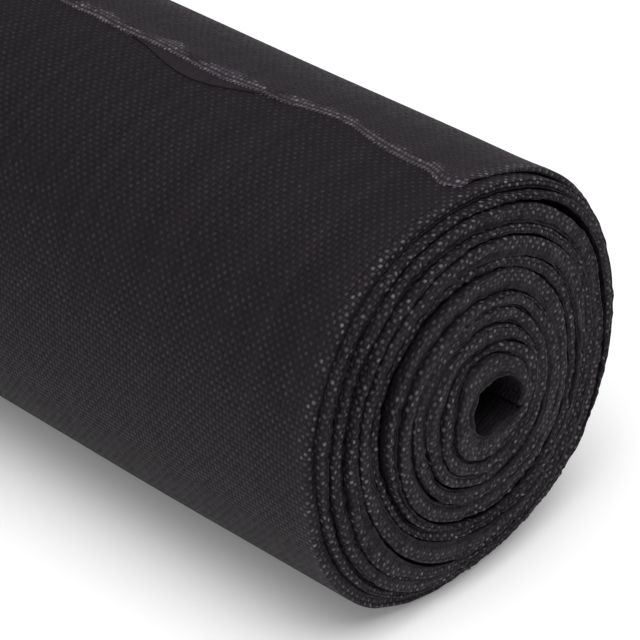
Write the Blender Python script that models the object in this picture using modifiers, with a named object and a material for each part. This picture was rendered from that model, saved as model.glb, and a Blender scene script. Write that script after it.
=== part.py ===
"""A roll of weed control fabric: one long black woven web, folded in half along its length and wound up
without a core.

The winding's axis lies along X. The near end, at +X, shows the folded edge of every turn, and the far end
shows the two cut edges of the folded web. Angles run from +Y towards +Z, anticlockwise seen from the near
end, and the web winds outwards that way. It lies on its outermost turn. The free end comes up over the
back and stops near the top. It is cloth, so it lifts and bends back along its whole length: here it is cut
into three panels, joined by hinge lines across the web, which stand for that bending.

Each piece is a flat strip of web that is rolled up point by point and then given the cloth's thickness.
"""

import math

import bmesh
import bpy
from mathutils import Vector, kdtree

# Sizes of the woven web, in metres.
folded_width = 1.0
ply_thickness = 0.0005
fold_height = 0.003

# Sizes of the winding, in metres: the bore is a radius, the gap is the mean clear gap between two turns,
# and the step is the mean distance that each turn's edge falls back behind the turn inside it.
bore_radius = 0.0155
turn_gap = 0.0044
edge_step = 0.0015
edge_ripple = 0.0012
seat_depth = 0.0005
hinge_gap = 0.0003

# Each turn's share of the mean gap and of the mean step, from the bore outwards.
gap_shares = (0.9, 1.15, 1.0, 1.25, 0.8, 1.35, 0.75, 1.65, 0.95, 1.25, 0.85, 0.6, 0.3)
step_shares = (0.8, 0.55, 0.7, 0.3, 0.55, 0.8, 0.4, 0.7, 0.95, 1.5, 2.0, 3.6, 4.3)

# The cut edges at the far end step by this share of the folded edge's steps, because the fold wanders.
cut_step_share = 0.3

# How far the winding is out of round: the wave's number of lobes, then the shares of the radius that its
# cosine and its sine have.
lobe_shares = ((2, -0.0106, -0.028), (3, 0.0033, -0.0107), (4, -0.0156, 0.0))

# Counts along the web, in facets from its inner end, and angles.
facets_per_turn = 20
facet_angle = math.tau / facets_per_turn
seat_angle = math.radians(273)
seat_facet = 236
first_hinge = 241
lower_panel_facets = 2
middle_panel_facets = 2
top_panel_facets = 1.4
fold_facets = 2
ripple_lobes = 2.08

web_colour = (0.022, 0.0195, 0.022, 1.0)
web_roughness = 0.62

# The two plies' middle surfaces lie this far to either side of the folded web's own middle.
ply_offset = (fold_height - ply_thickness) / 2


def wound_share(shares, turns):
    """The sum of the shares over this many turns, a part turn taking its part of its own share."""
    whole = min(int(turns), len(shares) - 1)
    return sum(shares[:whole]) + (turns - whole) * shares[whole]


def angle_of(facet):
    """The angle of a place along the web: the seat facet's middle lies at the seat angle."""
    return seat_angle + (facet - seat_facet - 0.5) * facet_angle


def web_radius(facet):
    """The radius of the folded web's middle at a corner between two facets."""
    turns = facet / facets_per_turn
    radius = bore_radius + fold_height * (turns + 0.5) + turn_gap * wound_share(gap_shares, turns)
    angle = angle_of(facet)
    waves = (a * math.cos(n * angle) + b * math.sin(n * angle) for n, a, b in lobe_shares)
    return radius * (1 + sum(waves))


def corner(facet, height):
    """The Y and Z of a corner line between two facets, this height outside the folded web's middle."""
    angle = angle_of(facet)
    radius = web_radius(facet) + height / math.cos(facet_angle / 2)
    return radius * math.cos(angle), radius * math.sin(angle)


def seated_corner(facet, height):
    """A corner line as it lies: the outermost turn's lowest facet is pressed flat on the ground."""
    y, z = corner(facet, height)
    if facet in (seat_facet, seat_facet + 1):
        lowest = min(corner(end, 0)[1] for end in (seat_facet, seat_facet + 1))
        z = lowest + seat_depth - height
    return y, z


def edge_place(facet):
    """Where the folded edge lies along the axis, and how it ripples."""
    turns = facet / facets_per_turn
    ripple = edge_ripple * math.sin(ripple_lobes * angle_of(facet))
    return ripple - edge_step * wound_share(step_shares, turns)


def place_across(facet, inset):
    """Where a point this far in from the folded edge lies along the axis. The edge's steps fade across the web."""
    fade = 1 - (1 - cut_step_share) * inset / folded_width
    return fade * edge_place(facet) - inset


def wound(facet, inset, height):
    """A point of the wound web, inset from the folded edge, on the straight line between two corners."""
    before = min(math.floor(facet), math.ceil(facet) - 1)
    share = facet - before
    start = Vector((place_across(before, inset), *seated_corner(before, height)))
    end = Vector((place_across(before + 1, inset), *seated_corner(before + 1, height)))
    return start.lerp(end, share)


def hinge_share(facet):
    """Half the hinge gap, as a share of the facet beside this corner."""
    side = (wound(facet, 0, 0) - wound(facet - 1, 0, 0)).length
    return hinge_gap / 2 / side


def web_section():
    """The inset and height of each point across the web: the outer ply, round the fold, the inner ply."""
    fold = []
    for step in range(fold_facets + 1):
        turn = math.pi * step / fold_facets
        fold.append((ply_offset * (1 - math.sin(turn)), ply_offset * math.cos(turn)))
    return [(folded_width, ply_offset), *fold, (folded_width, -ply_offset)]


def web_material():
    material = bpy.data.materials.new("woven_fabric")
    material.use_nodes = True
    shader = material.node_tree.nodes["Principled BSDF"]
    shader.inputs["Base Color"].default_value = web_colour
    shader.inputs["Roughness"].default_value = web_roughness
    shader.inputs["Metallic"].default_value = 0.0
    material.diffuse_color = web_colour
    return material


def web_piece(name, start, end, pivot, material, collection):
    """A length of the folded web between two places, its origin on the pivot."""
    section = web_section()
    stops = [start, *range(math.floor(start) + 1, math.ceil(end)), end]
    rows = len(stops) - 1
    columns = len(section) - 1
    sheet = bmesh.new()
    bmesh.ops.create_grid(sheet, x_segments=rows, y_segments=columns, size=1)
    for vert in sheet.verts:
        row = round((vert.co.x + 1) / 2 * rows)
        column = round((vert.co.y + 1) / 2 * columns)
        vert.co = wound(stops[row], *section[column]) - pivot
    mesh = bpy.data.meshes.new(name)
    sheet.to_mesh(mesh)
    sheet.free()
    mesh.shade_smooth()
    mesh.set_sharp_from_angle(angle=1.5 * facet_angle)
    mesh.materials.append(material)
    piece = bpy.data.objects.new(name, mesh)
    collection.objects.link(piece)
    cloth = piece.modifiers.new("cloth_thickness", "SOLIDIFY")
    cloth.thickness = ply_thickness
    cloth.offset = 0
    cloth.use_even_offset = True
    cloth.use_quality_normals = True
    return piece


def least_gap(last_facet):
    """The least clear gap between any two turns, or between the two plies, measured on points."""
    per_facet = 6
    count = math.floor(last_facet * per_facet)
    tree = kdtree.KDTree(2 * (count + 1))
    points = []
    for ply, height in enumerate((ply_offset, -ply_offset)):
        for step in range(count + 1):
            point = wound(step / per_facet, 0, height)
            points.append((ply, step, Vector((0, point.y, point.z))))
    for index, (ply, step, point) in enumerate(points):
        tree.insert(point, index)
    tree.balance()
    least = math.inf
    for ply, step, point in points:
        for _, index, distance in tree.find_range(point, fold_height + turn_gap):
            other_ply, other_step, _ = points[index]
            if other_ply != ply or abs(other_step - step) > per_facet * facets_per_turn / 2:
                least = min(least, distance)
    return least - ply_thickness


def box_of(pieces):
    """The lowest and highest corners of the pieces, thickness included."""
    graph = bpy.context.evaluated_depsgraph_get()
    corners = []
    for piece in pieces:
        evaluated = piece.evaluated_get(graph)
        corners += [evaluated.matrix_world @ vert.co for vert in evaluated.data.vertices]
    low = Vector(min(corner[axis] for corner in corners) for axis in range(3))
    high = Vector(max(corner[axis] for corner in corners) for axis in range(3))
    return low, high


def main():
    for old in list(bpy.data.objects):
        bpy.data.objects.remove(old, do_unlink=True)
    collection = bpy.data.collections.new("weed_control_fabric_roll")
    bpy.context.scene.collection.children.link(collection)
    material = web_material()

    centre = Vector((0, 0, 0))
    wound_web = web_piece("wound_web", 0, first_hinge - hinge_share(first_hinge), centre, material, collection)
    pieces = [wound_web]
    pivots = [centre]
    place = first_hinge
    panels = (
        ("tail_lower_panel", lower_panel_facets),
        ("tail_middle_panel", middle_panel_facets),
        ("tail_top_panel", top_panel_facets),
    )
    for name, facets in panels:
        pivot = Vector((0, *corner(place, fold_height / 2)))
        start = place + hinge_share(place)
        place += facets
        last = name == panels[-1][0]
        end = place if last else place - hinge_share(place)
        panel = web_piece(name, start, end, pivot, material, collection)
        panel.parent = pieces[-1]
        panel.location = pivot - pivots[-1]
        pieces.append(panel)
        pivots.append(pivot)

    bpy.context.view_layer.update()
    low, high = box_of(pieces)
    wound_web.location = -Vector(((low.x + high.x) / 2, (low.y + high.y) / 2, low.z))
    bpy.context.view_layer.update()

    low, high = box_of(pieces)
    print("box", [round(value, 5) for value in (*low, *high)])
    print("least gap to itself, mm", round(1000 * least_gap(place), 3))
    print("bore centre", [round(value, 5) for value in wound_web.matrix_world.translation])
    for piece in pieces[1:]:
        print("hinge of", piece.name, [round(value, 6) for value in piece.matrix_world.translation])
    turns = place / facets_per_turn
    length = sum((wound(step + 1, 0, 0) - wound(step, 0, 0)).length for step in range(math.floor(place)))
    print("turns", round(turns, 3), "web length", round(length, 4))


main()
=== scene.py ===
"""The looks of the roll of weed control fabric: its woven cloth, every turn's folded edge and the cut end.

The web's winding follows the CAD model's, without its facets. A place along the web is given in turns from
its inner end, and a place across it by how far in it lies from the folded edge.
"""

import math
from collections import namedtuple
from functools import lru_cache

import bmesh
import bpy
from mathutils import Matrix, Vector, noise


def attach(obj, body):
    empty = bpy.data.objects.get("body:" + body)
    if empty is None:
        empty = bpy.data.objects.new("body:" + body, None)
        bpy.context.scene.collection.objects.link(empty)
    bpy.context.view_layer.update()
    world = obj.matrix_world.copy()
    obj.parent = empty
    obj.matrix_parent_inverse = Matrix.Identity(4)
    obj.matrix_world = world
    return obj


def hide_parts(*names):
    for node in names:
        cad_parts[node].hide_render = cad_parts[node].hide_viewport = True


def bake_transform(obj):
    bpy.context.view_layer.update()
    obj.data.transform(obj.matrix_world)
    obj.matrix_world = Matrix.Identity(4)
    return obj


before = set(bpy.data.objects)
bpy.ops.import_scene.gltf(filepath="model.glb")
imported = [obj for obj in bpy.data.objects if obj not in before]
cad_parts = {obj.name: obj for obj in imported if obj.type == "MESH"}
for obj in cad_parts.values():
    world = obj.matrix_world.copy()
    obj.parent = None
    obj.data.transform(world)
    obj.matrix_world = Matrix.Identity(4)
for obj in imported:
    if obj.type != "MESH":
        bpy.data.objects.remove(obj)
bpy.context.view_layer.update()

# A wandering value: how far apart the seeds start, and what brings Blender's noise to between about -1 and 1.
seed_steps = (13.7, 5.1, 7.9)
noise_gain = 1.6


class Wander:
    """A smooth wandering value, always the same at the same place.

    It has a seed, how far it goes to either side, and how fast it changes along each coordinate of the place.
    """

    def __init__(self, seed, height, *rates):
        self.start = Vector(step * seed for step in seed_steps)
        self.height = height
        self.rates = rates

    def at(self, *place):
        spot = [part * rate for part, rate in zip(place, self.rates)]
        spot = Vector((*spot, 0.0, 0.0)[:3])
        return self.height * (noise.noise(spot + self.start) * noise_gain)


# A crease along the fold: its middle, as a share of the way round the fold, how that sways, how deep the
# crease is, how it comes and goes along the web, and how far it reaches round the fold.
Crease = namedtuple("Crease", ("middle", "sway", "depth", "comes", "starts_at", "full_at", "reach"))

# What the material knows of the weave, and of the cloth's finish and the light and shade painted on it, at
# each place:
# the humps are 1 in the middle of each square and 0 at its sides, and the tones are random for each tape and
# each crossing.
weave_values = ("warp_on_top", "across_hump", "along_hump", "crown", "warp_tone", "weft_tone", "crossing")
Weave = namedtuple("Weave", weave_values)
FinishAndLight = namedtuple("FinishAndLight", ("near_fold", "rubbed", "inner_side", "frayed", "smooth", "strip"))

# The winding's axis, where the near end's innermost fold is.
axis_place = Vector((0.50263, -0.00202, 0.10582))

# Sizes of the web and of its winding, as in the CAD model, in metres.
folded_width = 1.0
ply_thickness = 0.0005
fold_height = 0.003
bore_radius = 0.0155
turn_gap = 0.0044
edge_step = 0.0015
edge_ripple = 0.0012
gap_shares = (0.9, 1.15, 1.0, 1.25, 0.8, 1.35, 0.75, 1.65, 0.95, 1.25, 0.85, 0.6, 0.3)
step_shares = (0.8, 0.55, 0.7, 0.3, 0.55, 0.8, 0.4, 0.7, 0.95, 1.5, 2.0, 3.6, 4.3)
cut_step_share = 0.3
lobe_shares = ((2, -0.0106, -0.028), (3, 0.0033, -0.0107), (4, -0.0156, 0.0))
ripple_lobes = 2.08
facets_per_turn = 20
seat_angle = math.radians(273)
seat_turn = 236.5 / facets_per_turn
hinge_turns = (241 / facets_per_turn, 243 / facets_per_turn, 245 / facets_per_turn)
end_turn = 246.4 / facets_per_turn

# Half of the plain fold's height, between the middles of its two plies.
plain_half = (fold_height - ply_thickness) / 2

# Where the pieces of web meet, and how far to either side of a hinge line two points are taken, which nothing
# uses further.
core_turn = 5.5
middle_turn = 8.5
outer_turn = 11.0
piece_turns = (240.2 / facets_per_turn, 242 / facets_per_turn, 244 / facets_per_turn)
bend_turns = 0.75 / facets_per_turn

# The folds crowd each other. Row by row for each turn, and for every sixth of it: how far the line between
# its fold and the next turn's lies from halfway, and how wide the gap is there, both as shares of the pitch.
stops_per_turn = 6
shift_shares = (
    (0.4, 0.5, 0.5, 0.0, 0.1, 0.5),
    (0.15, 0.45, -0.05, 0.1, 0.1, 0.4),
    (-0.15, 0.1, 0.4, 0.55, -0.1, 0.3),
    (-0.2, -0.1, 0.5, 0.7, -0.1, 0.4),
    (0.1, 0.0, 0.4, 0.7, 0.2, 0.7),
    (0.25, 0.4, 0.8, 0.9, -0.2, 0.3),
    (0.35, 0.25, 0.65, 0.5, -0.5, -0.1),
    (0.2, 0.3, 0.7, 0.45, -0.3, 0.5),
    (-0.05, 0.0, 0.4, 0.0, 0.0, 0.1),
    (0.5, 0.4, 0.45, -0.05, -0.15, -0.2),
    (0.1, 0.3, -0.1, 0.15, -0.5, -0.3),
    (0.0, 0.1, 0.0, 0.0, 0.0, 0.0),
)
room_shares = (
    (0.04, 0.04, 0.03, 0.04, 0.04, 0.04),
    (0.05, 0.04, 0.03, 0.04, 0.04, 0.05),
    (0.06, 0.04, 0.03, 0.04, 0.06, 0.12),
    (0.05, 0.04, 0.03, 0.04, 0.06, 0.05),
    (0.05, 0.04, 0.03, 0.05, 0.08, 0.45),
    (0.35, 0.06, 0.03, 0.04, 0.06, 0.05),
    (0.35, 0.06, 0.05, 0.06, 0.05, 0.05),
    (0.08, 0.05, 0.08, 0.2, 0.08, 0.45),
    (0.45, 0.06, 0.04, 0.05, 0.05, 0.08),
    (0.5, 0.5, 0.03, 0.04, 0.05, 0.06),
    (0.1, 0.05, 0.03, 0.03, 0.03, 0.05),
    (0.03, 0.03, 0.03, 0.03, 0.03, 0.03),
)
shift_wander = Wander(6, 0.06, 13)
room_wander = Wander(5, 0.5, 17)

# The folded edge's own wandering along the axis, by turns and by the length of web.
edge_wanders = (Wander(3, 0.001, 5), Wander(4, 0.0004, 23))
edge_crumple = Wander(23, 0.0005, 125)

# How far a turn's fold lies behind its neighbours, in metres, at each sixth of the turns that do.
sunk_turn = 6
sunk_places = (0.0005, 0.0, 0.002, 0.004, 0.002, 0.0, 0.0)

# The innermost fold's inner side, round the hole, at each sixth of a turn, and where the gaps' list takes
# over. The web's inner end lies flat against the turn round it: how closely, over how many turns, how thick.
hole_radii = (0.0178, 0.0172, 0.0118, 0.0112, 0.0132, 0.0165, 0.0178)
hole_turn = 0.9
pressed_share = 0.85
pressed_turns = 0.2
pressed_fold = 0.0016
least_fold = 0.0012

# The fold's swelling: how far it reaches in from the edge, how much further in the core and in which turns
# that fades, how steeply it falls, how the distance between the plies varies further in, and how many turns
# before the end that stops.
nose_reach = 0.03
core_reach_share = 3
core_reach_turns = (0.6, 1.4)
swell_power = 1.5
ply_wander = Wander(1, 0.3, 3.1, 9)
ply_wander_ends = (1.3, 1.2)

# The fold's rounded nose: how deep it is, how its depth varies, how much it loses in how many turns before
# the outermost one, and how blunt it is.
nose_depth = 0.0012
nose_depth_share = 0.7
nose_least_share = 0.3
nose_wander = Wander(26, 1, 4.3)
nose_wander_range = (-0.5, 0.1)
outer_depth_loss = 0.5
outer_depth_turns = 0.3
nose_bluntness = 0.65
bluntness_wander = Wander(9, 0.2, 6)

# How the nose leans to one side, and the two creases that run along it.
nose_lean = Wander(17, 0.0006, 4)
creases = (
    Crease(0.42, Wander(18, 0.22, 3.3), 0.0008, Wander(20, 1, 5.3), -0.5, 0.3, 0.42),
    Crease(0.68, Wander(19, 0.16, 4.1), 0.001, Wander(21, 1, 6.7), -0.3, 0.4, 0.36),
)

# How far the nose's inner side falls back behind its outer side, at which angle it doesn't, over how many
# turns before the outermost one it stops, between which shares of the way round the fold it grows, and how
# far in from the edge it fades.
nose_slump = 0.0009
slump_free_angle = math.radians(340)
slump_wander = Wander(22, 0.8, 3.7)
slump_end_turns = 0.2
slump_round = (0.25, 0.8)
slump_insets = (0.1, 0.4)

# The crumples of the fold. Their place is the length of web, in lengths of one crumple, and how far
# round the fold and past it. They fade further in from the edge and on the outermost turns.
crumple_length = 0.012
crumple_width = 0.003
crumple_round_share = 0.9
crumple_inset = 0.004
crumple_outer_loss = 0.8
crumple_turns = (outer_turn - 0.5, outer_turn + 0.1)
crumples_along = (Wander(7, 0.00045, 1, 0.9), Wander(24, 0.00035, 2.6, 2.2))
crumples_out = (Wander(8, 0.00025, 0.6, 1), Wander(25, 0.00015, 2.2, 1.8))

# A groove just behind the outermost fold, pinched in the cloth: its lines of points, its depth, its reach to
# either side, and the turns between which it comes and goes.
pinch_insets = (0.0051, 0.0046, 0.0041)
pinch_depth = 0.001
pinch_reach = 0.001
pinch_comes = (11.33, 11.35)
pinch_goes = (11.46, 11.42)

# The cut edges at the far end, and the outermost turn's slack, by angle and by how far in.
far_cut_wander = Wander(13, 0.0015, 6, 1)
far_cut_insets = (0.95, 1)
slack = 0.0005
slack_wander = Wander(14, 1, 2.5, 2.5, 7)

# The free end: over how many turns it comes to lie on the turn below and how many before the end it is down,
# half its height there, its clear gap, where it goes straight, and over what length its cut edge curls down.
lie_turns = 0.14
laid_turns = 0.03
lying_half = 0.00035
lying_gap = 0.00005
straight_turn = end_turn - 11.5 / 360
curl_length = 0.004

# The wavy cut edge: how far it runs past its mean line, with its wandering and its bays, each with its
# height, middle and reach in metres across the web, and over how many turns the cloth follows its waves.
cut_mean = -0.003
cut_wanders = (Wander(10, 0.0007, 60), Wander(11, 0.001, 14))
cut_bays = ((-0.008, 0.08, 0.042), (0.004, 0.008, 0.014), (0.0035, 0.15, 0.035))
cut_turns = 0.06

# The inner ply's cut edge runs past the outer one's in one long lens, with its height, middle and reach, and
# stays down there: where it starts to stay, where it lies alone, and between which shares of the way round
# the fold the outer ply's line becomes the inner one's.
under_mean = -0.003
under_lens = (0.014, 0.165, 0.065)
under_wander = Wander(12, 0.0008, 30)
under_stays = (-0.001, 0.004)
under_alone = (-0.002, 0.001)
under_round = (0.3, 0.7)

# The outermost turn is pressed on the ground, and its inner ply stays this share of the fold's height above.
seated_share = 0.8

# The lines of points: their insets inside the roll and how they are graded outside, how many go round a
# fold, and how many rows of them each turn has in each length of web.
nearest_inset = 0.0025
inner_insets = (
    *(1.0, 0.997, 0.985, 0.9, 0.5, 0.12, 0.06, 0.04),
    *(0.028, 0.021, 0.016, 0.012, 0.0085, 0.0055, nearest_inset),
)
outer_lines = 84
outer_grading = 1.7
inner_nose_points = 20
outer_nose_points = 16
lengths_inside = (
    ("core_turns", 0, core_turn, 150),
    ("inner_turns", core_turn, middle_turn, 290),
    ("middle_turns", middle_turn, outer_turn, 340),
)
outer_rows = 250
tail_rows = 260
length_steps = 48
sharp_angle = math.radians(60)

# The cloth's tapes: the pitch of the warp tapes, which run along the web, and of the weft tapes across it,
# and how far they drift from their straight lines.
warp_pitch = 0.0022
weft_pitch = 0.0025
tape_drift = 0.0016

# The tapes' ends at the cut edge: how many points go across one and how many faces along it, half a tape's
# width there as a share of the pitch, how far the ends stick out and how that and their lean vary from tape to
# tape, and how they drop.
tape_end_points = 3
tape_end_rows = 2
tape_end_share = 0.36
tape_end_reach = 0.0012
tape_end_wander = Wander(15, 0.9, 7.3)
tape_end_lean = Wander(16, 0.5, 5.1)
tape_end_drop = 0.5

# The woven material's colours: the tapes' ground, and a painted highlight, the pale dot on each weft tape's
# crown where the crown would catch the light.
ground_colour = (0.0078, 0.00605, 0.0078)
crown_highlight_colour = (0.0265, 0.0245, 0.0265)

# The ground's tone: its least, and what each tape's own tone and each finish and painted light adds: the
# frayed cut edge, paler for its frayed tapes and as a painted highlight, the smooth cloth, the painted light
# on the strip by the cut end, and the painted light on the folds of the end face.
least_ground = 0.75
tape_ground = 0.5
fray_and_glint_ground = 0.8
smooth_ground = 0.15
painted_light_strip_ground = 0.75
near_fold_painted_light = 0.36

# The dot, a painted highlight on the crowns: how steeply it falls across the weft tape's crown and over its
# width, how much of it shows on the warp tapes, sound and at the frayed cut edge with its painted highlight,
# and what each crossing and each patch of cloth adds to its least.
dot_powers = (0.9, 1.6)
warp_dot = 0.1
fray_and_glint_warp_dot = 0.5
least_crossing_dot = 0.3
crossing_dot = 1.1
least_patch_dot = 0.2
patch_dot = 1.6

# What each finish and painted light adds to the dot or takes from it: the painted highlight on the fold's
# crest, the frayed cut edge with its painted highlight, the painted shade on the fold's inner ply and the
# smooth cloth. Then the share that is left of it where the fold is worn, and the values of the worn patches'
# noise between which that starts and ends.
crest_glint_gain = 3.3
fray_and_glint_gain = 3.9
inner_shade_gain = -0.8
smooth_gain = -0.5
worn_share = 0.3
worn_range = (0.38, 0.54)

# The cloth's gloss and relief. The crown is rounded along its tape and flat over its width.
plain_roughness = 0.62
crossing_roughness = 0.15
crown_polish = 0.1
specular_level = 0.14
specular_tint = (1.0, 0.94, 1.0, 1.0)
crown_powers = (0.8, 0.3)
crown_relief = 0.0003
crumple_relief_share = 3.0

# Where each finish and painted light starts and where it is full, in metres: near the fold, the painted
# highlight on the fold's crest (outer and inner), the painted shade on the inner ply, the smooth cloth at the
# cut end and further in, the painted light on the strip by the cut end, and the frayed cut edge with its
# painted highlight. The first four are measured from the fold's middle across the cloth, and the others from
# the cut end along it.
near_fold_range = (0.012, 0.005)
crest_glint_outer_range = (-0.008, -0.003)
crest_glint_inner_range = (0.002, -0.0005)
inner_shade_range = (0.0005, 0.003)
smooth_end_range = (0.2, 0.12)
smooth_under_range = (0.53, 0.6)
painted_light_strip_range = (0.16, 0.1)
fray_and_glint_range = (0.0175, 0.0125)
fray_and_glint_wobble = 0.02

# The inner ply's own place along the web in the material: its cut edge is this far from the frayed edge and
# its painted highlight, and it starts this far past the fold's middle.
clear_of_fray_and_glint = 0.02
past_fold = 0.01

# The studio: the floor's size, its tone under the light and its glow, the light from all round, and the
# softbox.
floor_half_width = 6
floor_tone = 0.9
floor_glow = 0.12
surrounding_light = 0.42
softbox_power = 38
softbox_width = 1.8
softbox_place = Vector((0.9, -0.45, 2.0))
lit_place = Vector((0.3, 0, 0.1))

# The camera: its direction from the near end, its focal length in pixels of the photo's width, and its
# distance and aim, in radii of the roll, from the ground under the near end.
photo_width = 640
focal_length = 2980
sensor_width = 36
turned = math.radians(43.26)
raised = math.radians(33.27)
roll_radius = 0.108
near_ground = axis_place + Vector((-0.01603, 0, -0.108))
aim_radii = Vector((-0.843, 0, 0.993))
distance_radii = 13


def wound_share(shares, turns):
    """The sum of the shares over this many turns, a part turn taking its part of its own share."""
    whole = min(int(turns), len(shares) - 1)
    return sum(shares[:whole]) + (turns - whole) * shares[whole]


def angle_of(turns):
    return seat_angle + (turns - seat_turn) * math.tau


def ramp(value, low, high):
    """A smooth rise from 0 at low to 1 at high, or a fall where low is the higher."""
    share = min(max((value - low) / (high - low), 0), 1)
    return share * share * (3 - 2 * share)


def hump(value, middle, reach):
    """1 at the middle, falling smoothly to 0 at this reach to either side."""
    return 1 - ramp(abs(value - middle), 0, reach)


def between(first, second, share):
    return first + (second - first) * share


def listed(rows, turns):
    """A listed share at this place along the web, led smoothly from each stop to the next."""
    stops = [share for row in rows for share in row]
    last_place = len(stops) - 1.001
    place = min(max(turns * stops_per_turn, 0), last_place)
    before = int(place)
    return between(stops[before], stops[before + 1], ramp(place - before, 0, 1))


@lru_cache(maxsize=None)
def web_radius(turns):
    """The radius of the folded web's middle."""
    radius = bore_radius + fold_height * (turns + 0.5) + turn_gap * wound_share(gap_shares, turns)
    angle = angle_of(turns)
    waves = sum(a * math.cos(n * angle) + b * math.sin(n * angle) for n, a, b in lobe_shares)
    return radius * (1 + waves)


@lru_cache(maxsize=None)
def edge_place(turns):
    """Where the folded edge lies along the axis, and how it ripples."""
    ripple = edge_ripple * math.sin(ripple_lobes * angle_of(turns))
    ripple += sum(wave.at(turns) for wave in edge_wanders)
    ripple += edge_crumple.at(web_radius(turns) * turns * math.tau)
    if sunk_turn <= turns < sunk_turn + 1:
        ripple -= listed([sunk_places], turns - sunk_turn)
    return ripple - edge_step * wound_share(step_shares, turns)


def fold_line(turns):
    """The radius of the line between this turn's fold and the next one's, and half the gap there."""
    here = web_radius(turns)
    pitch = web_radius(turns + 1) - here
    room = listed(room_shares, turns) * (1 + room_wander.at(turns))
    shift = listed(shift_shares, turns) + shift_wander.at(turns)
    return here + (0.5 + shift) * pitch, (room * pitch + ply_thickness) / 2


def pressed(turns):
    """How closely the web's inner end lies against the turn round it."""
    return pressed_share * (1 - ramp(turns, 0, pressed_turns))


@lru_cache(maxsize=None)
def fold_sides(turns):
    """The radii of the fold's outer and inner sides, at the folded edge."""
    line, half_gap = fold_line(turns)
    free = ramp(turns, end_turn - 1 - lie_turns, end_turn - 1 - laid_turns)
    outer = between(line - half_gap, web_radius(turns) + plain_half, free)
    line, half_gap = fold_line(turns - 1)
    inner = line + half_gap
    if turns < 1:
        inner = between(listed([hole_radii], turns), inner, ramp(turns, hole_turn, 1))
    inner = min(inner, outer - least_fold)
    return outer, between(inner, outer - pressed_fold, pressed(turns))


def cut_shift(inset):
    """How far the cut end's edge runs past its mean line, towards the front."""
    wanders = sum(wave.at(inset) for wave in cut_wanders)
    bays = sum(height * hump(inset, middle, reach) for height, middle, reach in cut_bays)
    return cut_mean + wanders + bays


def under_shift(inset):
    """How far the cut edge of the inner ply runs past the outer ply's."""
    height, middle, reach = under_lens
    return under_mean + height * hump(inset, middle, reach) + under_wander.at(inset)


def web_middle(turns, place, inset, under):
    """The radius of the folded web's middle as it lies, half its height, and 1 where it lies as the free end.

    The free end lies on the turn below. The place is where this length of web really lies, which is not quite
    the same near the wavy cut edge. under is 1 on the inner ply, which stays down where it runs past the
    outer one.
    """
    lies = ramp(turns, end_turn - lie_turns, end_turn - laid_turns)
    half = between(plain_half, lying_half, lies)
    lying = web_radius(place - 1) + plain_half + ply_thickness + lying_gap + lying_half
    left = (end_turn - turns) * math.tau * lying
    uncurled = ramp(left, 0, curl_length)
    if place > straight_turn:
        lift = lying * (1 / math.cos((place - straight_turn) * math.tau) - 1)
        lift *= 1 - under * ramp(under_shift(inset), *under_stays)
        lying += lift * uncurled
    alone = (1 - uncurled) * (1 - ramp(under_shift(inset), *under_alone))
    half -= lying_half * alone * lies
    return between(web_radius(place), lying - lying_half * alone, lies), half, lies


def nose_form(turns, height):
    """How deep the nose of a fold of this height is, and how blunt."""
    depth = min(nose_depth, nose_depth_share * height)
    depth *= 1 - outer_depth_loss * ramp(turns, outer_turn - outer_depth_turns, outer_turn)
    depth *= between(nose_least_share, 1, ramp(nose_wander.at(turns), *nose_wander_range))
    return depth, nose_bluntness + bluntness_wander.at(turns)


def fold_creases(turns, turn_round):
    """How the fold's nose leans to one side, and the creases that run along it."""
    along = nose_lean.at(turns) * math.cos(turn_round)
    for crease in creases:
        middle = math.pi * (crease.middle + crease.sway.at(turns))
        depth = crease.depth * ramp(crease.comes.at(turns), crease.starts_at, crease.full_at)
        along -= depth * hump(turn_round, middle, crease.reach)
    return along


def slumped(turns, inset, turn_round, angle):
    """How far the fold's inner side falls back behind its outer side."""
    slump = nose_slump * (1 + slump_wander.at(turns)) * (0.5 - 0.5 * math.cos(angle - slump_free_angle))
    slump *= 1 - ramp(turns, outer_turn - slump_end_turns, outer_turn)
    return slump * ramp(turn_round / math.pi, *slump_round) * (1 - ramp(inset, *slump_insets))


def crumpled(turns, inset, turn_round, middle):
    """How far the fold's crumples push the cloth along the axis, and outwards."""
    share = 1 - ramp(inset, crumple_inset, nose_reach)
    share *= 1 - crumple_outer_loss * ramp(turns, *crumple_turns)
    if share <= 0:
        return 0.0, 0.0
    side = (turn_round - math.pi / 2) * crumple_round_share
    side += math.copysign(inset / crumple_width, turn_round - math.pi / 2)
    length = turns * middle * math.tau / crumple_length
    along = sum(wave.at(length, side) for wave in crumples_along)
    out = sum(wave.at(length, side) for wave in crumples_out)
    return share * along, share * out


def pinched(turns, inset, turn_round):
    """The depth of the groove pinched in the outermost turn's outer ply."""
    if turn_round > 0 or turns <= outer_turn:
        return 0.0
    _, middle, _ = pinch_insets
    groove = pinch_depth * hump(inset, middle, pinch_reach)
    return groove * ramp(turns, *pinch_comes) * ramp(turns, *pinch_goes)


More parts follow.
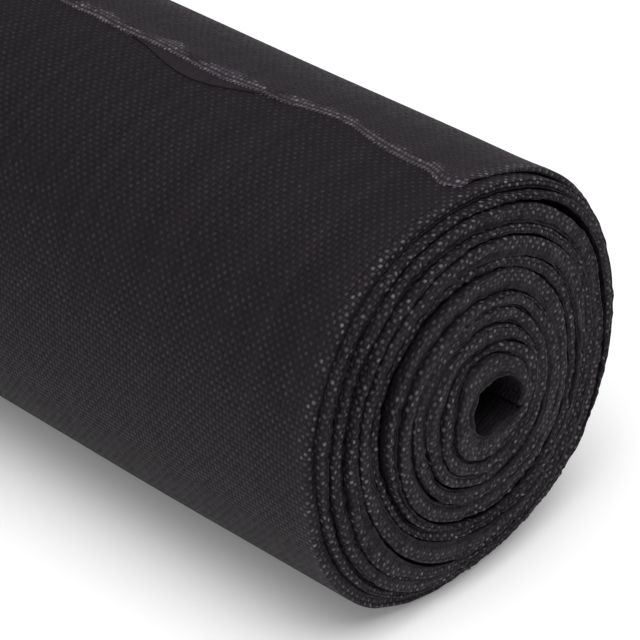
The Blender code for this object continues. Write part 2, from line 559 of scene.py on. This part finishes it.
def web_point(turns, inset, turn_round):
    """A point of the cloth's middle surface. turn_round is 0 on the outer ply and pi on the inner one."""
    turns = min(max(turns, 0), end_turn)
    place = turns
    under = ramp(turn_round / math.pi, *under_round)
    if turns > end_turn - cut_turns:
        shift = cut_shift(inset) + under_shift(inset) * under
        place += shift / (math.tau * web_radius(turns)) * ramp(turns, end_turn - cut_turns, end_turn)
    angle = angle_of(place)

    # the plies' distance from the axis, away from the fold and then at it
    middle, half, lies = web_middle(turns, place, inset, under)
    first, last = ply_wander_ends
    half *= 1 + (1 - ramp(turns, end_turn - first, end_turn - last)) * ply_wander.at(turns, inset)
    against = web_radius(turns + 1) - plain_half - ply_thickness - half
    middle = between(middle, against, pressed(turns))
    outer, inner = fold_sides(turns)
    outer = between(outer, middle + half, lies)
    inner = between(inner, middle - half, lies)
    reach = nose_reach * (1 + core_reach_share * (1 - ramp(turns, *core_reach_turns)))
    swell = (1 - ramp(inset, 0, reach)) ** swell_power
    outside = between(middle + half, outer, swell)
    inside = between(middle - half, inner, swell)

    # the way round the nose
    depth, blunt = nose_form(turns, outer - inner)
    across = math.cos(turn_round)
    share = 0.5 + 0.5 * math.copysign(abs(across) ** blunt, across)
    radius = between(inside, outside, share)
    from_nose = inset + depth * (1 - abs(math.sin(turn_round)) ** blunt)

    # the place along the axis, with all that moves the cloth there and outwards
    fade = 1 - (1 - cut_step_share) * inset / folded_width
    along = edge_place(turns) * fade - from_nose
    along += fold_creases(turns, turn_round) * (1 - lies)
    along -= slumped(turns, inset, turn_round, angle)
    crumple_along, crumple_out = crumpled(turns, inset, turn_round, middle)
    along += crumple_along
    radius += crumple_out - pinched(turns, inset, turn_round)
    along += ramp(inset, *far_cut_insets) * far_cut_wander.at(turns, turn_round)
    loose = ramp(turns, outer_turn - 1, outer_turn) * slack
    radius += loose * slack_wander.at(math.cos(angle), math.sin(angle), inset)
    return axis_place + Vector((along, radius * math.cos(angle), radius * math.sin(angle)))


def seated_point(turns, inset, turn_round):
    """A point of the outer turn, which lies pressed on the ground."""
    spot = web_point(turns, inset, turn_round)
    on_outer_ply = turn_round < 1
    above = 0 if on_outer_ply else fold_height * seated_share
    spot.z = max(spot.z, ply_thickness / 2 + above)
    return spot


def across_stops(stops, nose_points):
    """The inset and the turn round the fold of each line of points, from cut edge to cut edge."""
    outer = [(stop, 0.0) for stop in stops]
    nose = [(0.0, math.pi * step / nose_points) for step in range(nose_points + 1)]
    inner = [(stop, math.pi) for stop in reversed(stops)]
    return outer + nose + inner


def graded(first, last, count, power):
    """Insets from the cut edge to the fold, closer together towards the fold."""
    return [last + (first - last) * (1 - step / count) ** power for step in range(count)]


@lru_cache(maxsize=None)
def web_length(turns):
    """The length of web that lies inside this many turns."""
    count = max(round(turns * length_steps), 1)
    step = turns / count
    return sum(web_radius((n + 0.5) * step) * step * math.tau for n in range(count))


def laid_out(spots):
    """How far across the flat web each point of one row lies: the fold's middle is at the folded width."""
    lengths = [0.0]
    for before, after in zip(spots, spots[1:]):
        lengths.append(lengths[-1] + (after - before).length)
    middle = lengths[len(spots) // 2]
    return [folded_width + length - middle for length in lengths]


def web_sheet(name, turn_stops, sections, shape, material):
    """A length of the web: a grid of points along the web and across it, each put where it is wound.

    Its cloth map holds the flat web's places, and its edge map how far each place is from the cut end.
    """
    rows, columns = len(turn_stops) - 1, len(sections) - 1
    lengths = [web_length(turn_stops[0])]
    for before, after in zip(turn_stops, turn_stops[1:]):
        lengths.append(lengths[-1] + web_radius((before + after) / 2) * (after - before) * math.tau)
    full = web_length(end_turn)
    spots = [[shape(turns, *section) for section in sections] for turns in turn_stops]
    flat = [laid_out(row) for row in spots]
    sheet = bmesh.new()
    cloth = sheet.loops.layers.uv.new("cloth")
    edge = sheet.loops.layers.uv.new("edge")
    bmesh.ops.create_grid(sheet, x_segments=rows, y_segments=columns, size=1)
    places = {}
    for vert in sheet.verts:
        row = round((vert.co.x + 1) / 2 * rows)
        column = round((vert.co.y + 1) / 2 * columns)
        vert.co = spots[row][column]
        places[vert] = (flat[row][column], lengths[row])
    for face in sheet.faces:
        for loop in face.loops:
            across, along = places[loop.vert]
            inner_ply = across > folded_width + past_fold
            loop[cloth].uv = (across, along)
            loop[edge].uv = (full - along + (clear_of_fray_and_glint if inner_ply else 0), 0)
    return finished(name, sheet, material, ply_thickness)


def finished(name, sheet, material, thickness):
    """The piece of cloth made of this flat shape, given its thickness."""
    bmesh.ops.recalc_face_normals(sheet, faces=sheet.faces)
    mesh = bpy.data.meshes.new(name)
    sheet.to_mesh(mesh)
    sheet.free()
    mesh.shade_smooth()
    mesh.materials.append(material)
    piece = bpy.data.objects.new(name, mesh)
    bpy.context.collection.objects.link(piece)
    solid = piece.modifiers.new("cloth_thickness", "SOLIDIFY")
    solid.thickness = thickness
    solid.offset = 0
    graph = bpy.context.evaluated_depsgraph_get()
    applied = bpy.data.meshes.new_from_object(piece.evaluated_get(graph))
    piece.modifiers.clear()
    piece.data = applied
    bpy.data.meshes.remove(mesh)
    applied.name = name
    applied.set_sharp_from_angle(angle=sharp_angle)
    return piece


def steps_between(first, last, per_turn):
    count = max(round((last - first) * per_turn), 1)
    return [first + (last - first) * n / count for n in range(count + 1)]


class Nodes:
    """A short way to write a material's math."""

    def __init__(self, tree):
        self.tree = tree

    def add(self, kind, **settings):
        node = self.tree.nodes.new(kind)
        for key, value in settings.items():
            setattr(node, key, value)
        return node

    def link(self, source, target):
        if isinstance(source, (int, float, tuple)):
            target.default_value = source
        else:
            self.tree.links.new(source, target)

    def math(self, operation, *values, clamp=False):
        node = self.add("ShaderNodeMath", operation=operation, use_clamp=clamp)
        for value, socket in zip(values, node.inputs):
            self.link(value, socket)
        return node.outputs[0]

    def vector(self, operation, first, second):
        node = self.add("ShaderNodeVectorMath", operation=operation)
        self.link(first, node.inputs[0])
        self.link(second, node.inputs[1])
        return node.outputs[0]

    def scaled(self, vector, scale):
        """A vector or colour times a number."""
        node = self.add("ShaderNodeVectorMath", operation="SCALE")
        self.link(vector, node.inputs[0])
        self.link(scale, node.inputs["Scale"])
        return node.outputs[0]

    def parts(self, vector):
        """The first two coordinates of a place."""
        node = self.add("ShaderNodeSeparateXYZ")
        self.link(vector, node.inputs[0])
        return node.outputs[0], node.outputs[1]

    def uv(self, name):
        return self.add("ShaderNodeUVMap", uv_map=name).outputs[0]

    def mix(self, share, first, second):
        """first + share * (second - first), for plain numbers."""
        node = self.add("ShaderNodeMix", data_type="FLOAT")
        self.link(share, node.inputs[0])
        self.link(first, node.inputs[2])
        self.link(second, node.inputs[3])
        return node.outputs[0]

    def ramp(self, value, low, high):
        """A smooth rise from 0 at low to 1 at high, or a fall where low is the higher."""
        node = self.add("ShaderNodeMapRange", interpolation_type="SMOOTHSTEP")
        self.link(value, node.inputs["Value"])
        node.inputs["From Min"].default_value = min(low, high)
        node.inputs["From Max"].default_value = max(low, high)
        node.inputs["To Min"].default_value = 0 if low < high else 1
        node.inputs["To Max"].default_value = 1 if low < high else 0
        return node.outputs["Result"]

    def noise(self, vector, scale, detail):
        node = self.add("ShaderNodeTexNoise", noise_dimensions="2D")
        node.inputs["Scale"].default_value = scale
        node.inputs["Detail"].default_value = detail
        self.link(vector, node.inputs["Vector"])
        return node

    def tone(self, number):
        """A random value from 0 to 1 for each whole number."""
        node = self.add("ShaderNodeTexWhiteNoise", noise_dimensions="1D")
        self.link(self.math("FLOOR", number), node.inputs["W"])
        return node.outputs["Value"]

    def square_tone(self, across, along):
        """A random value from 0 to 1 for each square of the weave."""
        square = self.add("ShaderNodeCombineXYZ")
        self.link(self.math("FLOOR", across), square.inputs[0])
        self.link(self.math("FLOOR", along), square.inputs[1])
        node = self.add("ShaderNodeTexWhiteNoise", noise_dimensions="2D")
        self.link(square.outputs[0], node.inputs["Vector"])
        return node.outputs["Value"]


def tape_places(n, cloth):
    """Each place's number of warp and of weft tapes in, as the tapes drift a little from their lines."""
    drift = n.noise(cloth, scale=60, detail=2)
    shift = n.vector("SUBTRACT", drift.outputs["Color"], (0.5, 0.5, 0.5))
    across, along = n.parts(n.vector("ADD", cloth, n.scaled(shift, tape_drift)))
    return n.math("DIVIDE", across, warp_pitch), n.math("DIVIDE", along, weft_pitch)


def tape_crown(n, across_tape, along_tape):
    """How high a tape's crown stands."""
    along_power, across_power = crown_powers
    along_crown = n.math("POWER", along_tape, along_power)
    return n.math("MULTIPLY", along_crown, n.math("POWER", across_tape, across_power))


def plain_weave(n, cloth):
    """Which tape lies on top in each square of the weave, how high its crown stands, and the tapes' tones."""
    across, along = tape_places(n, cloth)
    across_wave = n.math("SINE", n.math("MULTIPLY", across, math.pi))
    along_wave = n.math("SINE", n.math("MULTIPLY", along, math.pi))
    warp_on_top = n.math("GREATER_THAN", n.math("MULTIPLY", across_wave, along_wave), 0.0)
    across_hump = n.math("ABSOLUTE", across_wave)
    along_hump = n.math("ABSOLUTE", along_wave)
    warp_crown = tape_crown(n, across_hump, along_hump)
    weft_crown = tape_crown(n, along_hump, across_hump)
    crown = n.mix(warp_on_top, weft_crown, warp_crown)
    tones = (n.tone(across), n.tone(along), n.square_tone(across, along))
    return Weave(warp_on_top, across_hump, along_hump, crown, *tones)


def cloth_finish_and_light(n, cloth):
    """How much of each finish the cloth has at each place, and of each painted light and shade."""
    from_cut, _ = n.parts(n.uv("edge"))
    flat_across, _ = n.parts(cloth)
    from_fold = n.math("ABSOLUTE", n.math("SUBTRACT", flat_across, folded_width))
    near_fold = n.ramp(from_fold, *near_fold_range)
    # a painted highlight on the fold's crest, where the crest would catch the light
    crest_glint_outer = n.ramp(flat_across, *(folded_width + place for place in crest_glint_outer_range))
    crest_glint_inner = n.ramp(flat_across, *(folded_width + place for place in crest_glint_inner_range))
    rubbed = n.math("MULTIPLY", crest_glint_outer, crest_glint_inner)
    # painted shade: the dots are dimmed on the fold's inner ply, inside the fold and round the hole, where
    # shade falls
    inner_side = n.ramp(flat_across, *(folded_width + place for place in inner_shade_range))
    # the cut edge: its tapes are frayed, and the glint where its lip would catch the light is painted, a
    # painted highlight
    rags = n.noise(cloth, scale=55, detail=2).outputs["Fac"]
    frayed = n.ramp(n.math("MULTIPLY_ADD", rags, fray_and_glint_wobble, from_cut), *fray_and_glint_range)
    smooth = n.math("MAXIMUM", n.ramp(from_cut, *smooth_end_range), n.ramp(from_cut, *smooth_under_range))
    smooth = n.math("MULTIPLY", smooth, n.math("SUBTRACT", 1.0, near_fold))
    # the strip by the cut end, on top of the roll, is painted lighter: painted light where it faces the lamp
    # and the white surroundings
    return FinishAndLight(near_fold, rubbed, inner_side, frayed, smooth, n.ramp(from_cut, *painted_light_strip_range))


def ground_tone(n, weave, finish_and_light):
    """The tapes' tone. Each tape has its own, and only the warp tapes' show where the cloth is smooth."""
    tape_tone = n.mix(weave.warp_on_top, weave.weft_tone, weave.warp_tone)
    tape_tone = n.mix(finish_and_light.smooth, tape_tone, weave.warp_tone)
    tone = n.math("MULTIPLY_ADD", tape_tone, tape_ground, least_ground)
    # the frayed cut edge is paler, partly for its frayed tapes and partly as a painted highlight
    tone = n.math("MULTIPLY_ADD", finish_and_light.frayed, fray_and_glint_ground, tone)
    tone = n.math("MULTIPLY_ADD", finish_and_light.smooth, smooth_ground, tone)
    # painted light on the strip by the cut end
    tone = n.math("MULTIPLY_ADD", finish_and_light.strip, painted_light_strip_ground, tone)
    # painted light: the folds of the end face are painted lighter
    return n.math("MULTIPLY_ADD", finish_and_light.near_fold, near_fold_painted_light, tone)


def crown_highlight(n, cloth, weave, finish_and_light):
    """The dot on the weft tapes' crowns, a painted highlight, which varies by crossing, in patches, with the
    finish and with the painted light and shade.
    """
    crown_power, width_power = dot_powers
    patches = n.noise(cloth, scale=90, detail=3).outputs["Fac"]
    on_warp = n.math("MULTIPLY_ADD", finish_and_light.frayed, fray_and_glint_warp_dot, warp_dot)
    dot = n.math("POWER", weave.across_hump, crown_power)
    dot = n.math("MULTIPLY", dot, n.math("POWER", weave.along_hump, width_power))
    dot = n.math("MULTIPLY", dot, n.mix(weave.warp_on_top, 1.0, on_warp))
    dot = n.math("MULTIPLY", dot, n.math("MULTIPLY_ADD", weave.crossing, crossing_dot, least_crossing_dot))
    dot = n.math("MULTIPLY", dot, n.math("MULTIPLY_ADD", patches, patch_dot, least_patch_dot))

    unworn = n.ramp(n.noise(cloth, scale=170, detail=2).outputs["Fac"], *worn_range)
    # the painted highlight on the fold's crest
    gain = n.math("MULTIPLY_ADD", finish_and_light.rubbed, crest_glint_gain, 1.0)
    gain = n.math("MULTIPLY", gain, n.mix(finish_and_light.near_fold, 1.0, n.mix(unworn, worn_share, 1.0)))
    # the painted shade on the fold's inner ply
    gain = n.math("MULTIPLY", gain, n.math("MULTIPLY_ADD", finish_and_light.inner_side, inner_shade_gain, 1.0))
    gain = n.math("MULTIPLY", gain, n.math("MULTIPLY_ADD", finish_and_light.smooth, smooth_gain, 1.0))
    # the frayed cut edge, with its painted highlight
    gain = n.math("MULTIPLY_ADD", finish_and_light.frayed, fray_and_glint_gain, gain)
    return n.math("MULTIPLY", dot, gain)


def woven_fabric():
    """Black flat tapes in a plain weave, with pale dots painted on the weft crowns as highlights, brightest
    where a painted highlight lies on the fold's crest and at the frayed cut end.
    """
    material = bpy.data.materials.new("woven_fabric")
    material.use_nodes = True
    shader = material.node_tree.nodes["Principled BSDF"]
    n = Nodes(material.node_tree)
    cloth = n.uv("cloth")
    weave = plain_weave(n, cloth)
    finish_and_light = cloth_finish_and_light(n, cloth)
    ground = n.scaled(ground_colour, ground_tone(n, weave, finish_and_light))
    # the pale dots are painted highlights on the crowns
    dot = n.scaled(crown_highlight_colour, crown_highlight(n, cloth, weave, finish_and_light))
    n.link(n.vector("ADD", ground, dot), shader.inputs["Base Color"])

    # the crowns are a little glossier, and stand out in relief, as do the fold's finest crumples
    rough = n.math("MULTIPLY_ADD", weave.crossing, crossing_roughness, plain_roughness)
    rough = n.math("SUBTRACT", rough, n.math("MULTIPLY", weave.crown, crown_polish))
    n.link(rough, shader.inputs["Roughness"])
    shader.inputs["Specular IOR Level"].default_value = specular_level
    shader.inputs["Specular Tint"].default_value = specular_tint
    crumple = n.math("MULTIPLY", n.noise(cloth, scale=380, detail=2).outputs["Fac"], finish_and_light.near_fold)
    bump = n.add("ShaderNodeBump")
    bump.inputs["Strength"].default_value = 1.0
    bump.inputs["Distance"].default_value = crown_relief
    n.link(n.math("MULTIPLY_ADD", crumple, crumple_relief_share, weave.crown), bump.inputs["Height"])
    n.link(bump.outputs[0], shader.inputs["Normal"])
    return material


def turns_inside(material):
    """The turns inside the outermost one, in three lengths."""
    sections = across_stops(inner_insets, inner_nose_points)
    for name, first, last, per_turn in lengths_inside:
        piece = web_sheet(name, steps_between(first, last, per_turn), sections, web_point, material)
        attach(piece, "roll")
        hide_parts("wound_web")


def outermost_turn(sections, material):
    """The outermost turn, as far as the free end."""
    stops = steps_between(outer_turn, piece_turns[0], outer_rows)
    piece = web_sheet("outer_turn", stops, sections, seated_point, material)
    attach(piece, "roll")
    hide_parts("wound_web")


def tape_ends(material):
    """The short ends of the warp tapes that stick out of the cut end's outer ply.

    The last column of a grid for each tape is the gap beside it, and is taken out.
    """
    last_tape = round(folded_width / warp_pitch) - 2
    columns, rows = tape_end_points * last_tape, tape_end_rows
    sheet = bmesh.new()
    cloth = sheet.loops.layers.uv.new("cloth")
    edge = sheet.loops.layers.uv.new("edge")
    bmesh.ops.create_grid(sheet, x_segments=columns, y_segments=rows, size=1)
    full = web_length(end_turn)
    middle = web_radius(end_turn)
    gaps = []
    for face in sheet.faces:
        column = min(round((vert.co.x + 1) / 2 * columns) for vert in face.verts)
        if column % tape_end_points == tape_end_points - 1:
            gaps.append(face)
    bmesh.ops.delete(sheet, geom=gaps, context="FACES")
    places = {}
    for vert in sheet.verts:
        column = round((vert.co.x + 1) / 2 * columns)
        row = round((vert.co.y + 1) / 2 * rows)
        tape, side = divmod(column, tape_end_points)
        inset = (tape + 1 + tape_end_share * (side - 1)) * warp_pitch
        start = web_point(end_turn, inset, 0)
        past = row / rows * tape_end_reach * (1 + tape_end_wander.at(tape))
        angle = math.atan2(start.z - axis_place.z, start.y - axis_place.y) + past / middle
        radius = math.hypot(start.z - axis_place.z, start.y - axis_place.y) - tape_end_drop * past
        lean = past * tape_end_lean.at(tape)
        y = axis_place.y + radius * math.cos(angle)
        z = axis_place.z + radius * math.sin(angle)
        vert.co = (start.x + lean, y, z)
        places[vert] = (folded_width - inset, full + past)
    for face in sheet.faces:
        for loop in face.loops:
            loop[cloth].uv = places[loop.vert]
            loop[edge].uv = (0, 0)
    return finished("tape_ends", sheet, material, ply_thickness / 2)


def free_end(sections, material):
    """The free end, in three pieces, with the tapes' ends at its cut edge."""
    ends = (*piece_turns, end_turn)
    bodies = ("roll", "tail_lower", "tail_middle", "tail_top")
    for number, name in enumerate(("tail_root", "tail_bend", "tail_end")):
        first, last = ends[number], ends[number + 1]
        piece = web_sheet(name, steps_between(first, last, tail_rows), sections, seated_point, material)
        before = web_point(hinge_turns[number] - bend_turns, folded_width / 2, 0)
        after = web_point(hinge_turns[number] + bend_turns, folded_width / 2, 0)
        before.x = after.x = 0
        parts = [piece]
        if last == end_turn:
            parts.append(tape_ends(material))
        for part in parts:
            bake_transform(part)
        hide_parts(bodies[number + 1] + "_panel")


def pale_floor():
    """A pale floor that keeps the roll's shadow."""
    mesh = bpy.data.meshes.new("floor")
    shape = bmesh.new()
    bmesh.ops.create_grid(shape, x_segments=1, y_segments=1, size=floor_half_width)
    shape.to_mesh(mesh)
    shape.free()
    floor = bpy.data.objects.new("floor", mesh)
    bpy.context.collection.objects.link(floor)
    paper = bpy.data.materials.new("pale_floor")
    paper.use_nodes = True
    surface = paper.node_tree.nodes["Principled BSDF"]
    surface.inputs["Roughness"].default_value = 0.9
    surface.inputs["Emission Color"].default_value = (1, 1, 1, 1)

    # white to the rays that show the background: to the camera, and by way of glossy or clear things
    n = Nodes(paper.node_tree)
    path = n.add("ShaderNodeLightPath")
    seen = n.math("ADD", path.outputs["Is Camera Ray"], path.outputs["Is Glossy Ray"])
    seen = n.math("ADD", seen, path.outputs["Is Transmission Ray"], clamp=True)
    tone = n.mix(seen, floor_tone, 1.0)
    shade = n.add("ShaderNodeCombineColor")
    for socket in shade.inputs:
        n.link(tone, socket)
    n.link(shade.outputs[0], surface.inputs["Base Color"])
    n.link(n.math("MULTIPLY", seen, floor_glow), surface.inputs["Emission Strength"])
    mesh.materials.append(paper)


def studio_light():
    """Soft light from all round, and one softbox overhead."""
    world = bpy.data.worlds.new("studio")
    bpy.context.scene.world = world
    world.use_nodes = True
    light = world.node_tree.nodes["Background"]
    light.inputs["Strength"].default_value = surrounding_light
    light.inputs["Color"].default_value = (1, 1, 1, 1)

    lamp = bpy.data.lights.new("softbox", "AREA")
    lamp.energy = softbox_power
    lamp.size = softbox_width
    softbox = bpy.data.objects.new("softbox", lamp)
    bpy.context.collection.objects.link(softbox)
    softbox.location = softbox_place
    softbox.rotation_euler = (lit_place - softbox_place).to_track_quat("-Z", "Y").to_euler()


def photo_camera():
    """The photograph's camera."""
    lens = bpy.data.cameras.new("camera")
    lens.sensor_width = sensor_width
    lens.lens = sensor_width * focal_length / photo_width
    lens.clip_end = 50
    target = near_ground + roll_radius * aim_radii
    level = math.cos(raised)
    back = Vector((math.sin(turned) * level, -math.cos(turned) * level, math.sin(raised)))
    camera = bpy.data.objects.new("camera", lens)
    bpy.context.collection.objects.link(camera)
    camera.location = target + distance_radii * roll_radius * back
    camera.rotation_euler = (math.pi / 2 - raised, 0, turned)
    bpy.context.scene.camera = camera


bpy.context.scene.view_settings.view_transform = "Standard"
pale_floor()
studio_light()
photo_camera()

woven = woven_fabric()
turns_inside(woven)
outer_insets = [*graded(folded_width, nearest_inset, outer_lines, outer_grading), *pinch_insets]
outer_sections = across_stops(sorted(outer_insets, reverse=True), outer_nose_points)
outermost_turn(outer_sections, woven)
free_end(outer_sections, woven)
